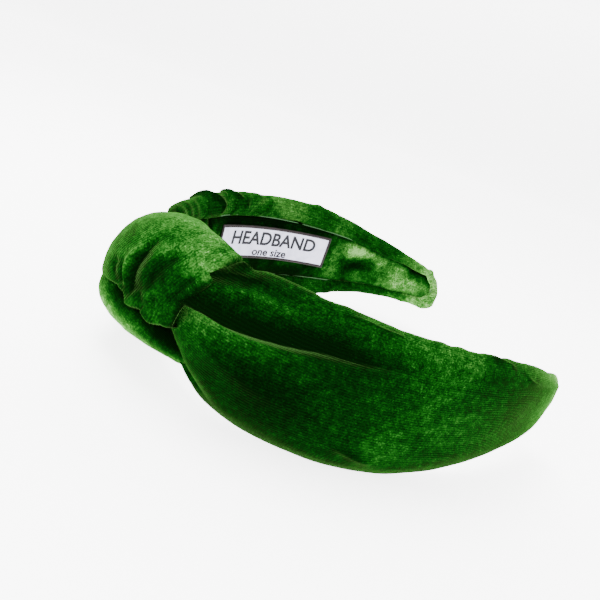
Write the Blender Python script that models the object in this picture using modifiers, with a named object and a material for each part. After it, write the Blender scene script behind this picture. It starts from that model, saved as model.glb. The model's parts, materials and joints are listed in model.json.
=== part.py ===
"""Knotted velvet headband: a padded hoop with a turban knot at the crown.

Frame: metres, +Z up across the band's width. The hoop lies on its side edge, as it does on a table.
The knot is at -X, the two open tips point to +X, the front arm is at -Y and the rear arm at +Y.
The origin is under the middle of the hoop, on the surface that it lies on.
"""
import bpy
import numpy as np

MM = 0.001

# Hoop: the middle line of the moulded strip is part of an ellipse, open between the tips.
HOOP_LENGTH_RADIUS = 89.0 * MM
HOOP_WIDTH_RADIUS = 66.0 * MM
TIP_ANGLE = 2.387
HOOP_CENTRE_X = 21.4 * MM

# Width of the covered band above and below its middle line, from crown (0) to tip (1).
WIDTH_STATIONS = (0.0, 0.1, 0.3, 0.55, 0.8, 0.95, 1.0)
UPPER_WIDTHS = (19.5 * MM, 20.9 * MM, 25.6 * MM, 25.0 * MM, 18.2 * MM, 10.8 * MM, 8.4 * MM)
LOWER_WIDTHS = (17.5 * MM, 18.6 * MM, 24.0 * MM, 29.4 * MM, 17.9 * MM, 10.8 * MM, 8.4 * MM)
REST_DEPTH = 28.6 * MM
TIP_ROUNDING = 0.05
TIP_NARROWING = 0.62

# Layers, counted outwards from the strip's middle surface.
STRIP_THICKNESS = 2.0 * MM
LINING_THICKNESS = 1.2 * MM
COVER_THICKNESS = 1.2 * MM
LAYER_GAP = 0.4 * MM
INNER_FACE = -2.6 * MM
CROWN_HEIGHT = 8.0 * MM
TIP_HEIGHT = 4.6 * MM
EDGE_HEIGHT = 1.0 * MM
EDGE_ROUND = 3.2 * MM
SEAM_WIDTH = 1.4 * MM
STRIP_INSET = 5.0 * MM
FOAM_INSET = 2.2 * MM
LINING_SHARE = 0.56
LINING_MOST = 14.6 * MM

# The hoop springs open at two flex lines beside the knot.
FLEX_ANGLE = 0.66
CROWN_END = 0.63
ARM_START = 0.69
GATHER_START = 0.31

# Knot: a wrap over the top and front, and a loop that passes round its lower side.
KNOT_HEIGHT = 21.5 * MM
KNOT_WIDTH = 29.4 * MM
KNOT_FRONT = -0.47
KNOT_REAR = 0.43
KNOT_LEAN = 0.09
LOOP_START_TURN = -20.0
WRAP_START_TURN = -13.0
INNER_LIP_TURN = 118.0
KNOT_LIP_DEPTH = 6.2 * MM
STUFFING_ANGLE = 0.27
STUFFING_TURN = 48.0

# Woven label on the rear arm's inner face.
LABEL_START = 0.765
LABEL_END = 1.575
LABEL_MIDDLE = 2.4 * MM
LABEL_HALF_HEIGHT = 8.5 * MM
LABEL_BORDER = 1.4 * MM
LABEL_THICKNESS = 0.7 * MM

THREAD_RADIUS = 0.25 * MM
THREAD_END = 0.975
TIP_TURN = 0.012

VELVET_GREEN = (0.02, 0.16, 0.02)
LINING_GREEN = (0.03, 0.2, 0.03)
FOAM_GREY = (0.75, 0.75, 0.72)
STRIP_BLACK = (0.03, 0.03, 0.03)
THREAD_GREEN = (0.02, 0.12, 0.02)
LABEL_WHITE = (0.75, 0.74, 0.84)
BORDER_BROWN = (0.07, 0.05, 0.05)

for leftover in list(bpy.data.objects):
    bpy.data.objects.remove(leftover, do_unlink=True)

collection = bpy.data.collections.new("knotted_headband")
bpy.context.scene.collection.children.link(collection)


def finish(name, colour, roughness):
    """A plain finish with its own colour and roughness."""
    material = bpy.data.materials.new(name)
    material.use_nodes = True
    shader = material.node_tree.nodes["Principled BSDF"]
    shader.inputs["Base Color"].default_value = (*colour, 1.0)
    shader.inputs["Roughness"].default_value = roughness
    shader.inputs["Metallic"].default_value = 0.0
    return material


def hinge_frame(name, angle):
    """An empty on a flex line, in the middle of the strip."""
    empty = bpy.data.objects.new(name, None)
    empty.empty_display_size = 0.02
    empty.location = on_hoop(angle, 0.0, 0.0)
    collection.objects.link(empty)
    return empty


def on_hoop(angle, outwards, height):
    """Points on the hoop: an ellipse in plan, a distance out along its normal, and a height."""
    angle, outwards, height = np.broadcast_arrays(angle, outwards, height)
    normal_x = -HOOP_WIDTH_RADIUS * np.cos(angle)
    normal_y = HOOP_LENGTH_RADIUS * np.sin(angle)
    length = np.hypot(normal_x, normal_y)
    x = HOOP_CENTRE_X - HOOP_LENGTH_RADIUS * np.cos(angle) + outwards * normal_x / length
    y = HOOP_WIDTH_RADIUS * np.sin(angle) + outwards * normal_y / length
    z = np.maximum(height + REST_DEPTH, 0.0)
    return np.stack([x, y, z], axis=-1)


def smooth_curve(at, stations, values):
    """A smooth curve through a few stations: cubic pieces with the neighbours' mean slope."""
    stations, values = np.array(stations), np.array(values)
    slopes = np.gradient(values, stations)
    piece = np.clip(np.searchsorted(stations, at) - 1, 0, len(stations) - 2)
    span = stations[piece + 1] - stations[piece]
    t = (at - stations[piece]) / span
    start = values[piece] * (1 + 2 * t) * (1 - t) ** 2 + slopes[piece] * span * t * (1 - t) ** 2
    end = values[piece + 1] * t ** 2 * (3 - 2 * t) - slopes[piece + 1] * span * t ** 2 * (1 - t)
    return start + end


def tip_share(angle):
    """How much of the width is left as the end rounds off: an arc over the last stretch."""
    past = np.clip((np.abs(angle) / TIP_ANGLE - 1 + TIP_ROUNDING) / TIP_ROUNDING, 0, 1)
    return 1 - TIP_NARROWING * (1 - np.sqrt(1 - past ** 2))


def band_widths(angle):
    """The covered band's reach above and below its middle line at each angle."""
    share = np.abs(angle) / TIP_ANGLE
    upper = smooth_curve(share, WIDTH_STATIONS, UPPER_WIDTHS) * tip_share(angle)
    lower = smooth_curve(share, WIDTH_STATIONS, LOWER_WIDTHS) * tip_share(angle)
    return upper, lower


def band_height(angle):
    """How far the padded face stands out: full along the arm, thin at the tip."""
    share = np.abs(angle) / TIP_ANGLE
    height = np.interp(share, (0.5, 1.0), (CROWN_HEIGHT, TIP_HEIGHT))
    return height * (0.4 + 0.6 * tip_share(angle))


def lining_width(angle):
    """Half the width of the lining strip."""
    upper, lower = band_widths(angle)
    return np.minimum(LINING_SHARE * np.minimum(upper, lower), LINING_MOST)


def cover_section(angle, turns=12):
    """A padded C: from the lower seam round the lower edge, over the face and down to the upper seam.

    The face is a superellipse, the edges roll round to the inner face with a quarter turn.
    """
    upper, lower = band_widths(angle)
    seam = lining_width(angle) + SEAM_WIDTH
    top = band_height(angle)
    turn = np.linspace(-np.pi / 2, np.pi / 2, turns + 1)
    face_out = EDGE_HEIGHT + (top - EDGE_HEIGHT) * np.cos(turn).clip(0) ** 0.75
    face_up = np.where(turn > 0, upper, lower) * np.sign(turn) * np.abs(np.sin(turn)) ** 0.85
    lower_out, lower_up = edge_roll(lower, seam)
    upper_out, upper_up = edge_roll(upper, seam)
    out = np.concatenate([lower_out[::-1], face_out, upper_out])
    up = np.concatenate([-lower_up[::-1], face_up, upper_up])
    return out, up


def edge_roll(width, seam):
    """The rolled edge below the face: a quarter round, then straight to the seam."""
    turn = np.radians((35.0, 90.0))
    rounding = np.minimum(EDGE_ROUND, 0.8 * (width - seam))
    depth = EDGE_HEIGHT - INNER_FACE
    out = EDGE_HEIGHT - depth * np.sin(turn)
    up = width - rounding * (1 - np.cos(turn))
    return np.append(out, INNER_FACE), np.append(up, seam)


def loft(angles, section):
    """A grid of points: one section at each angle along the hoop."""
    rows = []
    for angle in angles:
        out, up = section(angle)
        rows.append(on_hoop(angle, out, up))
    return np.array(rows)


def add_mesh(name, points, faces, material, parent=None):
    """A mesh object in the headband's collection, placed under its flex line if it has one."""
    origin = np.array(parent.location) if parent else np.zeros(3)
    mesh = bpy.data.meshes.new(name)
    mesh.from_pydata((points.reshape(-1, 3) - origin).tolist(), [], faces)
    mesh.shade_smooth()
    mesh.set_sharp_from_angle(angle=np.radians(50))
    mesh.materials.append(material)
    item = bpy.data.objects.new(name, mesh)
    item.parent = parent
    collection.objects.link(item)
    return item


def grid_faces(rows, columns, closed=False, flip=False):
    """Four-sided faces of a grid, joined round when the section is closed."""
    faces = []
    for row in range(rows - 1):
        for column in range(columns if closed else columns - 1):
            nearer = row * columns
            farther = nearer + columns
            beside = (column + 1) % columns
            face = (nearer + column, farther + column, farther + beside, nearer + beside)
            faces.append(face[::-1] if flip else face)
    return faces


def runs_to_rear(points):
    """Whether a loft's rows run from the front arm towards the rear arm."""
    first = points[0, 0] - (HOOP_CENTRE_X, 0, 0)
    second = points[1, 0] - (HOOP_CENTRE_X, 0, 0)
    return bool(first[0] * second[1] < first[1] * second[0])


def add_sheet(name, points, thickness, material, parent=None, capped_end=False, offset=-1.0):
    """A curved sheet with thickness; its last row can be closed across, as at a tip."""
    rows, columns = points.shape[:2]
    flip = runs_to_rear(points)
    faces = grid_faces(rows, columns, flip=flip)
    if capped_end:
        last = [(rows - 1) * columns + column for column in range(columns)]
        faces.append(last if flip else last[::-1])
    item = add_mesh(name, points, faces, material, parent)
    wall = item.modifiers.new("wall", "SOLIDIFY")
    wall.thickness = thickness
    wall.offset = offset
    wall.use_even_offset = True
    return item


def add_solid_loft(name, points, material, parent=None):
    """A closed form between unlike sections, with flat ends."""
    rows, columns = points.shape[:2]
    flip = runs_to_rear(points)
    faces = grid_faces(rows, columns, closed=True, flip=flip)
    first = list(range(columns))
    last = [(rows - 1) * columns + column for column in first]
    faces.append(first[::-1] if flip else first)
    faces.append(last if flip else last[::-1])
    return add_mesh(name, points, faces, material, parent)


def arm_angles(side, end_share=1.0):
    """Stations along an arm: even along its length, closer where the tip rounds off."""
    along = np.linspace(ARM_START, TIP_ANGLE * (1 - TIP_ROUNDING), 20)
    tip = TIP_ANGLE * (1 - TIP_ROUNDING * np.array((0.6, 0.3, 0.12, 0.03)))
    angles = np.concatenate([along, tip])
    return side * angles[angles <= TIP_ANGLE * end_share]


def strip_section(angle):
    """The moulded strip's middle surface: a straight line across the band."""
    upper, lower = band_widths(angle)
    inset = np.minimum(STRIP_INSET, 0.5 * upper)
    return np.zeros(2), np.array((inset - lower, upper - inset))


def lining_section(angle):
    """The lining's outer side, just inside the strip."""
    width = lining_width(angle)
    out = INNER_FACE + LINING_THICKNESS
    return np.full(5, out), np.linspace(-width, width, 5)


def foam_section(angle):
    """Foam padding: flat on the strip, domed under the cover."""
    upper, lower = band_widths(angle)
    base = STRIP_THICKNESS / 2 + LAYER_GAP
    top = band_height(angle) - COVER_THICKNESS - LAYER_GAP
    turn = np.linspace(-np.pi / 2, np.pi / 2, 11)
    inset = np.minimum(FOAM_INSET, 0.35 * upper)
    width = np.where(turn > 0, upper, lower) - inset
    return base + (top - base) * np.cos(turn).clip(0), width * np.sin(turn)


def crown_foam_section(angle):
    """The same foam, a little thinner where the knot presses on it."""
    out, up = foam_section(angle)
    base = STRIP_THICKNESS / 2 + LAYER_GAP
    return base + (out - base) * 0.9, up


def knot_section(angle, first_turn, last_turn, count, inset=0.0):
    """The knot's rounded section, between two turns about the strip, in degrees.

    It is highest in the middle and comes down to the gathered band at its front and rear.
    The upper half leans to the front and the lower half to the rear.
    """
    turn = np.radians(np.linspace(first_turn, last_turn, count))
    leaned = angle + KNOT_LEAN * np.sin(turn)
    reach = np.where(leaned < 0, KNOT_FRONT - KNOT_LEAN, KNOT_REAR + KNOT_LEAN)
    swell = np.cos(np.pi / 2 * np.clip(leaned / reach, 0, 1)) ** 1.2
    upper, lower = band_widths(angle)
    spare = COVER_THICKNESS + 2 * LAYER_GAP
    width = np.where(turn > 0, upper, lower) + spare
    width = width + (KNOT_WIDTH - width) * swell - inset
    height = CROWN_HEIGHT + spare
    height = height + (KNOT_HEIGHT - height) * swell - inset
    across = np.sign(np.cos(turn)) * np.abs(np.cos(turn)) ** 0.8
    out = np.where(across > 0, height, KNOT_LIP_DEPTH) * across
    up = width * np.sign(turn) * np.abs(np.sin(turn)) ** 0.85
    return out, up


def wrap_section(angle):
    """The knot's front wrap: from its scalloped lower edge over the dome to the inner face."""
    return knot_section(angle, WRAP_START_TURN, INNER_LIP_TURN, 16)


def loop_section(angle):
    """The knot's loop: round the lower side, from under the wrap to the inner face."""
    return knot_section(angle, -INNER_LIP_TURN, LOOP_START_TURN, 12)


def stuffing_section(angle):
    """Wadding that fills the dome between the band's foam and the knot's fabric."""
    inset = COVER_THICKNESS + 2 * LAYER_GAP
    dome_out, dome_up = knot_section(angle, -STUFFING_TURN, STUFFING_TURN, 11, inset=inset)
    foam_out, foam_up = crown_foam_section(angle)
    floor_up = dome_up[::-1][1:-1]
    floor_out = np.interp(floor_up, foam_up, foam_out) + 2 * LAYER_GAP
    return np.concatenate([dome_out, floor_out]), np.concatenate([dome_up, floor_up])


def add_label(panel_finish, border_finish, parent):
    """The woven label: a panel, and the stitched border that runs round it."""
    low = LABEL_MIDDLE - LABEL_HALF_HEIGHT
    high = LABEL_MIDDLE + LABEL_HALF_HEIGHT
    radius = 0.5 * (HOOP_LENGTH_RADIUS + HOOP_WIDTH_RADIUS)
    inset = (LABEL_BORDER + LAYER_GAP) / radius
    inner = np.linspace(LABEL_START + inset, LABEL_END - inset, 14)
    seams = (LABEL_START, LABEL_START + LABEL_BORDER / radius, LABEL_END - LABEL_BORDER / radius, LABEL_END)
    outer = np.concatenate([seams[:2], inner, seams[2:]])
    panel = label_rows(inner, (low + LABEL_BORDER + LAYER_GAP, high - LABEL_BORDER - LAYER_GAP))
    add_sheet("label_panel", panel, LABEL_THICKNESS, panel_finish, parent)
    frame = label_rows(outer, (low, low + LABEL_BORDER, high - LABEL_BORDER, high))
    across = frame.shape[1] - 1
    ends = (0, len(outer) - 2)
    ring_faces = [
        face for index, face in enumerate(grid_faces(len(outer), across + 1, flip=True))
        if index % across != 1 or index // across in ends
    ]
    ring = add_mesh("label_border", frame, ring_faces, border_finish, parent)
    wall = ring.modifiers.new("wall", "SOLIDIFY")
    wall.thickness = LABEL_THICKNESS
    wall.offset = -1.0


def label_rows(angles, heights):
    """A patch of the label, lying on the lining's inner side."""
    out = np.full(len(heights), INNER_FACE - LAYER_GAP)
    return np.array([on_hoop(angle, out, np.array(heights)) for angle in angles])


def add_seam_thread(name, side, material, parent):
    """The slip-stitch thread: up the lower seam, round the tip of the lining and back."""
    last = TIP_ANGLE * THREAD_END
    out_run = np.linspace(ARM_START + 0.02, last, 36)
    middle = lining_width(out_run) + SEAM_WIDTH / 2
    lower = on_hoop(side * out_run, INNER_FACE + LINING_THICKNESS / 2, -middle)
    upper = on_hoop(side * out_run, INNER_FACE + LINING_THICKNESS / 2, middle)[::-1]
    turn = np.radians((-60, 0, 60))
    past = last + TIP_TURN * np.cos(turn)
    round_tip = on_hoop(side * past, INNER_FACE + LINING_THICKNESS / 2, middle[-1] * np.sin(turn))
    route = np.concatenate([lower, round_tip, upper]) - np.array(parent.location)
    curve = bpy.data.curves.new(name, "CURVE")
    curve.dimensions = "3D"
    curve.bevel_depth = THREAD_RADIUS
    curve.bevel_resolution = 2
    curve.use_fill_caps = True
    spline = curve.splines.new("POLY")
    spline.points.add(len(route) - 1)
    spline.points.foreach_set("co", np.column_stack([route, np.ones(len(route))]).ravel())
    curve.materials.append(material)
    item = bpy.data.objects.new(name, curve)
    item.parent = parent
    collection.objects.link(item)


velvet = finish("velvet", VELVET_GREEN, 0.9)
lining_velvet = finish("lining_velvet", LINING_GREEN, 0.85)
foam = finish("foam", FOAM_GREY, 0.95)
moulded = finish("moulded_strip", STRIP_BLACK, 0.5)
thread = finish("sewing_thread", THREAD_GREEN, 0.7)
woven = finish("woven_label", LABEL_WHITE, 0.8)
stitched = finish("label_edging", BORDER_BROWN, 0.8)

# Crown: strip, foam and lining run under the knot from one flex line to the other.
across_crown = np.linspace(-CROWN_END, CROWN_END, 17)
add_sheet("core_crown", loft(across_crown, strip_section), STRIP_THICKNESS, moulded, offset=0.0)
add_sheet("lining_crown", loft(across_crown, lining_section), LINING_THICKNESS, lining_velvet)
add_solid_loft("foam_crown", loft(across_crown, crown_foam_section), foam)
for side, place in ((-1, "front"), (1, "rear")):
    gather = np.linspace(side * GATHER_START, side * CROWN_END, 6)
    add_sheet(f"cover_{place}_gather", loft(gather, cover_section), COVER_THICKNESS, velvet)

# Knot: wadding, the wrap over it and the loop round its lower side.
dome = np.linspace(-STUFFING_ANGLE, STUFFING_ANGLE, 11)
add_solid_loft("knot_stuffing", loft(dome, stuffing_section), foam)
knot_run = np.linspace(KNOT_FRONT, KNOT_REAR, 21)
add_sheet("knot_wrap", loft(knot_run, wrap_section), COVER_THICKNESS, velvet)
add_sheet("knot_loop", loft(knot_run, loop_section), COVER_THICKNESS, velvet)

# Arms: the same layers on each side, on their own flex line.
for side, place in ((-1, "front"), (1, "rear")):
    flex = hinge_frame(f"{place}_arm_flex", side * FLEX_ANGLE)
    padded = arm_angles(side, 0.985)
    add_sheet(f"core_{place}", loft(padded, strip_section), STRIP_THICKNESS, moulded, flex, offset=0.0)
    add_solid_loft(f"foam_{place}", loft(padded, foam_section), foam, flex)
    add_sheet(f"lining_{place}", loft(arm_angles(side, 0.972), lining_section), LINING_THICKNESS,
              lining_velvet, flex)
    add_sheet(f"cover_{place}", loft(arm_angles(side), cover_section), COVER_THICKNESS, velvet, flex,
              capped_end=True)
    add_seam_thread(f"lining_thread_{place}", side, thread, flex)
    if place == "rear":
        add_label(woven, stitched, flex)
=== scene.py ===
"""Knotted velvet headband: the looks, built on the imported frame."""
import json
import math

import bmesh
import bpy
import numpy as np
from mathutils import Matrix, Vector


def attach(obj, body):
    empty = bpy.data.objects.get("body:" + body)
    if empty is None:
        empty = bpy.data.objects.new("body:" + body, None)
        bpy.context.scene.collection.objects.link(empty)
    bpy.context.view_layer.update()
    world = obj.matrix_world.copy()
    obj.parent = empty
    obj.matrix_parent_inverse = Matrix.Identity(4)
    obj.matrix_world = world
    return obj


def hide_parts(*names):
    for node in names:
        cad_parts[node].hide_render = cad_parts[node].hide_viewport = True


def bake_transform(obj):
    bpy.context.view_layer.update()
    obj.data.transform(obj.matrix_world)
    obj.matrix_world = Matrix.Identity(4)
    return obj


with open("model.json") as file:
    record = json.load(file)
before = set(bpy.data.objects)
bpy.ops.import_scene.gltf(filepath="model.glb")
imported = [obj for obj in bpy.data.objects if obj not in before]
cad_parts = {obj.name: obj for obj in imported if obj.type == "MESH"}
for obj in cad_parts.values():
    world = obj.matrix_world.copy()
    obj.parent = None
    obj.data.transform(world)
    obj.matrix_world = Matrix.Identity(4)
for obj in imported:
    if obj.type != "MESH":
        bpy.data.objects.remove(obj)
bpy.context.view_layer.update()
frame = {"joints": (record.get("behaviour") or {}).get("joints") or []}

MM = 0.001

# ---------------------------------------------------------------------------------------------
# The view: a camera a little above and to the left of the band, tilted to one side, a pale
# floor that the band's edge lies on, and wide soft lamps over and in front of it.
# ---------------------------------------------------------------------------------------------
CAMERA_PLACE = (-94.8 * MM, -185.6 * MM, 109.3 * MM)
CAMERA_YAW = -24.25
CAMERA_PITCH = -21.66
CAMERA_ROLL = 20.1
CAMERA_LENS = 31.85

camera_data = bpy.data.cameras.new("camera")
camera_data.lens = CAMERA_LENS
camera_data.sensor_width = 36.0
camera_data.clip_start = 0.01
camera = bpy.data.objects.new("camera", camera_data)
bpy.context.scene.collection.objects.link(camera)
camera.rotation_mode = "QUATERNION"
camera.location = CAMERA_PLACE
turned = Matrix.Rotation(math.radians(CAMERA_YAW), 3, "Z")
turned = turned @ Matrix.Rotation(math.radians(90 + CAMERA_PITCH), 3, "X")
camera.rotation_quaternion = (turned @ Matrix.Rotation(math.radians(CAMERA_ROLL), 3, "Z")).to_quaternion()
bpy.context.scene.camera = camera


def soft_lamp(name, place, aim, width, power, tint=(1.0, 1.0, 1.0)):
    """A square area lamp at a place, turned to face its aim."""
    lamp_data = bpy.data.lights.new(name, "AREA")
    lamp_data.size = width
    lamp_data.energy = power
    lamp_data.color = tint
    lamp = bpy.data.objects.new(name, lamp_data)
    lamp.location = place
    lamp.rotation_mode = "QUATERNION"
    lamp.rotation_quaternion = (Vector(aim) - Vector(place)).to_track_quat("-Z", "Y")
    bpy.context.scene.collection.objects.link(lamp)


BAND_MIDDLE = (0.0, 0.0, 0.03)
soft_lamp("lamp_above", (-0.15, 0.1, 0.75), BAND_MIDDLE, 0.4, 16.0)
soft_lamp("lamp_left", (-0.7, -0.3, 0.35), BAND_MIDDLE, 0.4, 8.0)
soft_lamp("lamp_front", (0.3, -0.8, 0.3), BAND_MIDDLE, 0.5, 7.0)

world = bpy.data.worlds.new("studio")
world.use_nodes = True
world.node_tree.nodes["Background"].inputs["Color"].default_value = (1.0, 1.0, 1.0, 1.0)
world.node_tree.nodes["Background"].inputs["Strength"].default_value = 1.5
bpy.context.scene.world = world


SWEEP_NEAR = -8.0
SWEEP_BEND = 1.4
SWEEP_RADIUS = 0.6
SWEEP_TOP = 4.0
SWEEP_HALF_WIDTH = 9.0
FLOOR_GAP = 0.4 * MM


def new_finish(name):
    """A new material: the material itself, its node tree and its shader."""
    material = bpy.data.materials.new(name)
    material.use_nodes = True
    return material, material.node_tree, material.node_tree.nodes["Principled BSDF"]


def sweep_points():
    """A studio sweep: a floor that runs away from the camera, curves up and goes on as a wall."""
    bend = np.linspace(0, math.pi / 2, 24)
    wall = SWEEP_BEND + SWEEP_RADIUS
    away = np.concatenate([[SWEEP_NEAR], SWEEP_BEND + SWEEP_RADIUS * np.sin(bend), [wall]])[:, None]
    up = np.concatenate([[0.0], SWEEP_RADIUS * (1 - np.cos(bend)), [SWEEP_TOP]])[:, None] - FLOOR_GAP
    aside = np.linspace(-SWEEP_HALF_WIDTH, SWEEP_HALF_WIDTH, 5)[None, :]
    turn = math.radians(CAMERA_YAW)
    x = aside * math.cos(turn) - away * math.sin(turn)
    y = aside * math.sin(turn) + away * math.cos(turn)
    return np.stack(np.broadcast_arrays(x, y, up), axis=-1)


floor_grid = sweep_points()
floor_index = np.arange(floor_grid[..., 0].size).reshape(floor_grid.shape[:2])
floor_faces = np.stack([floor_index[:-1, :-1], floor_index[:-1, 1:],
                        floor_index[1:, 1:], floor_index[1:, :-1]], axis=-1)
floor_mesh = bpy.data.meshes.new("floor")
floor_mesh.from_pydata(floor_grid.reshape(-1, 3), [], floor_faces.reshape(-1, 4).tolist())
floor_mesh.shade_smooth()
floor = bpy.data.objects.new("floor", floor_mesh)
bpy.context.scene.collection.objects.link(floor)
floor_paint, _, floor_shader = new_finish("floor_paint")
floor_shader.inputs["Base Color"].default_value = (0.92, 0.92, 0.92, 1.0)
floor_shader.inputs["Roughness"].default_value = 0.9
floor_shader.inputs["Emission Color"].default_value = (1.0, 1.0, 1.0, 1.0)
floor_shader.inputs["Emission Strength"].default_value = 3.6
floor.data.materials.append(floor_paint)

# ---------------------------------------------------------------------------------------------
# The hoop that every layer follows: an ellipse in plan, open between the tips. Its centre comes
# from the frame's rear arm flex joint.
# ---------------------------------------------------------------------------------------------
HOOP_LENGTH_RADIUS = 89.0 * MM
HOOP_WIDTH_RADIUS = 66.0 * MM
TIP_ANGLE = 2.387
FRONT, REAR = -1, 1

joints = {joint["name"]: joint for joint in frame["joints"]}
flex_place = np.array(joints["rear_arm_flex"]["pos_m"])
FLEX_ANGLE = math.asin(flex_place[1] / HOOP_WIDTH_RADIUS)
HOOP_CENTRE_X = flex_place[0] + HOOP_LENGTH_RADIUS * math.cos(FLEX_ANGLE)
HOOP_MIDDLE_Z = flex_place[2]


def on_hoop(angle, outwards, height):
    """Points on the hoop: the ellipse at an angle, moved out along its normal and up by a height."""
    normal_x = -HOOP_WIDTH_RADIUS * np.cos(angle)
    normal_y = HOOP_LENGTH_RADIUS * np.sin(angle)
    length = np.hypot(normal_x, normal_y)
    x = HOOP_CENTRE_X - HOOP_LENGTH_RADIUS * np.cos(angle) + outwards * normal_x / length
    y = HOOP_WIDTH_RADIUS * np.sin(angle) + outwards * normal_y / length
    return np.stack(np.broadcast_arrays(x, y, HOOP_MIDDLE_Z + height), axis=-1)


def smooth_curve(at, stations, values):
    """A smooth curve through a few stations: cubic pieces with the neighbours' mean slope."""
    stations, values = np.array(stations, float), np.array(values, float)
    at = np.clip(at, stations[0], stations[-1])
    slopes = np.gradient(values, stations)
    piece = np.clip(np.searchsorted(stations, at) - 1, 0, len(stations) - 2)
    span = stations[piece + 1] - stations[piece]
    t = (at - stations[piece]) / span
    start = values[piece] * (1 + 2 * t) * (1 - t) ** 2 + slopes[piece] * span * t * (1 - t) ** 2
    end = values[piece + 1] * t ** 2 * (3 - 2 * t) - slopes[piece + 1] * span * t ** 2 * (1 - t)
    return start + end


def ease(value, low, high):
    """0 before low, 1 after high, and a smooth step between them."""
    t = np.clip((value - low) / (high - low), 0, 1)
    return t * t * (3 - 2 * t)


def length_along(angle):
    """Distance along the hoop from the crown, in metres: the ellipse's arc, added up in small steps."""
    steps = np.linspace(0, TIP_ANGLE, 800)
    speed = np.hypot(HOOP_LENGTH_RADIUS * np.sin(steps), HOOP_WIDTH_RADIUS * np.cos(steps))
    total = np.concatenate([[0], np.cumsum((speed[1:] + speed[:-1]) / 2 * np.diff(steps))])
    return np.interp(np.abs(angle), steps, total)


MERGE_DISTANCE = 0.02 * MM


def add_piece(name, points, lengthwise, crosswise, closed=False, painted_light_and_lay=None):
    """A mesh from a grid of points, with a UV map in metres along and across the cloth.

    Painted_light_and_lay says how much lighter or darker the velvet is painted at each point: painted
    shade in valleys, tucks and under the knot, painted highlight on ridges and lit sides, and lying pile.
    Each grid cell is one face. A closed grid joins its last column to its first. Points that meet,
    as where a tip closes, are merged.
    """
    rows, columns = points.shape[:2]
    index = np.arange(rows * columns).reshape(rows, columns)
    beside = np.roll(index, -1, axis=1) if closed else index[:, 1:]
    here = index if closed else index[:, :-1]
    faces = np.stack([here[:-1], here[1:], beside[1:], beside[:-1]], axis=-1).reshape(-1, 4)
    mesh = bpy.data.meshes.new(name)
    mesh.from_pydata(points.reshape(-1, 3), [], faces.tolist())
    layer = mesh.uv_layers.new(name="cloth")
    lengthwise, crosswise = np.broadcast_arrays(lengthwise, crosswise)
    flat = np.stack([lengthwise.ravel(), crosswise.ravel()], axis=-1)
    layer.data.foreach_set("uv", flat[faces.ravel()].astype(np.float32).ravel())
    # Each point's painted light and shade, with its lying pile, kept as an attribute for the velvet.
    light_and_lay_layer = mesh.attributes.new("painted_light_and_lay", "FLOAT", "POINT")
    values = np.broadcast_to(0.0 if painted_light_and_lay is None else painted_light_and_lay, points.shape[:2])
    light_and_lay_layer.data.foreach_set("value", values.astype(np.float32).ravel())
    mesh.shade_smooth()
    item = bpy.data.objects.new(name, mesh)
    bpy.context.scene.collection.objects.link(item)
    shell = bmesh.new()
    shell.from_mesh(mesh)
    bmesh.ops.remove_doubles(shell, verts=shell.verts, dist=MERGE_DISTANCE)
    bmesh.ops.recalc_face_normals(shell, faces=shell.faces)
    shell.to_mesh(mesh)
    shell.free()
    return item


# ---------------------------------------------------------------------------------------------
# Strip: the springy moulded strip that the whole band is built on. It is one plastic moulding,
# and it keeps its own shape here, in a plastic finish.
# ---------------------------------------------------------------------------------------------
def add_node(tree, kind, links=(), **values):
    """A node in a tree: links are (input, source socket), values are its properties or input defaults."""
    node = tree.nodes.new(kind)
    for label, value in values.items():
        if hasattr(node, label):
            setattr(node, label, value)
        else:
            node.inputs[label.replace("_", " ")].default_value = value
    for label, source in links:
        tree.links.new(source, node.inputs[label])
    return node


def colour_steps(tree, source, steps):
    """A colour ramp with the given (position, colour) steps."""
    ramp = add_node(tree, "ShaderNodeValToRGB", [("Fac", source)])
    elements = ramp.color_ramp.elements
    elements[0].position, elements[1].position = steps[0][0], steps[-1][0]
    elements[0].color, elements[1].color = (*steps[0][1], 1.0), (*steps[-1][1], 1.0)
    for position, colour in steps[1:-1]:
        elements.new(position).color = (*colour, 1.0)
    return ramp.outputs["Color"]


def moulded_finish():
    """Moulded plastic: pale, faintly mottled, with a fine moulded grain and uneven gloss."""
    material, tree, shader = new_finish("moulded_strip_finish")
    place = add_node(tree, "ShaderNodeTexCoord").outputs["Object"]
    flow = add_node(tree, "ShaderNodeTexNoise", [("Vector", place)],
                    Scale=90.0, Detail=4.0, Distortion=0.6).outputs["Fac"]
    grain = add_node(tree, "ShaderNodeTexNoise", [("Vector", place)], Scale=1500.0, Detail=2.0).outputs["Fac"]
    colour = colour_steps(tree, flow, [(0.3, (0.55, 0.55, 0.53)), (0.7, (0.66, 0.66, 0.64))])
    rough = colour_steps(tree, flow, [(0.3, (0.38, 0.38, 0.38)), (0.7, (0.55, 0.55, 0.55))])
    bump = add_node(tree, "ShaderNodeBump", [("Height", grain)], Strength=0.15, Distance=0.2 * MM)
    tree.links.new(colour, shader.inputs["Base Color"])
    tree.links.new(rough, shader.inputs["Roughness"])
    tree.links.new(bump.outputs["Normal"], shader.inputs["Normal"])
    return material


def give_finish(finish, *node_names):
    """Put a finish on pieces that keep their own shape."""
    for node_name in node_names:
        for part_slot in bpy.data.objects[node_name].material_slots:
            part_slot.link = "OBJECT"
            part_slot.material = finish


give_finish(moulded_finish(), "core_crown", "core_front", "core_rear")

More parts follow.
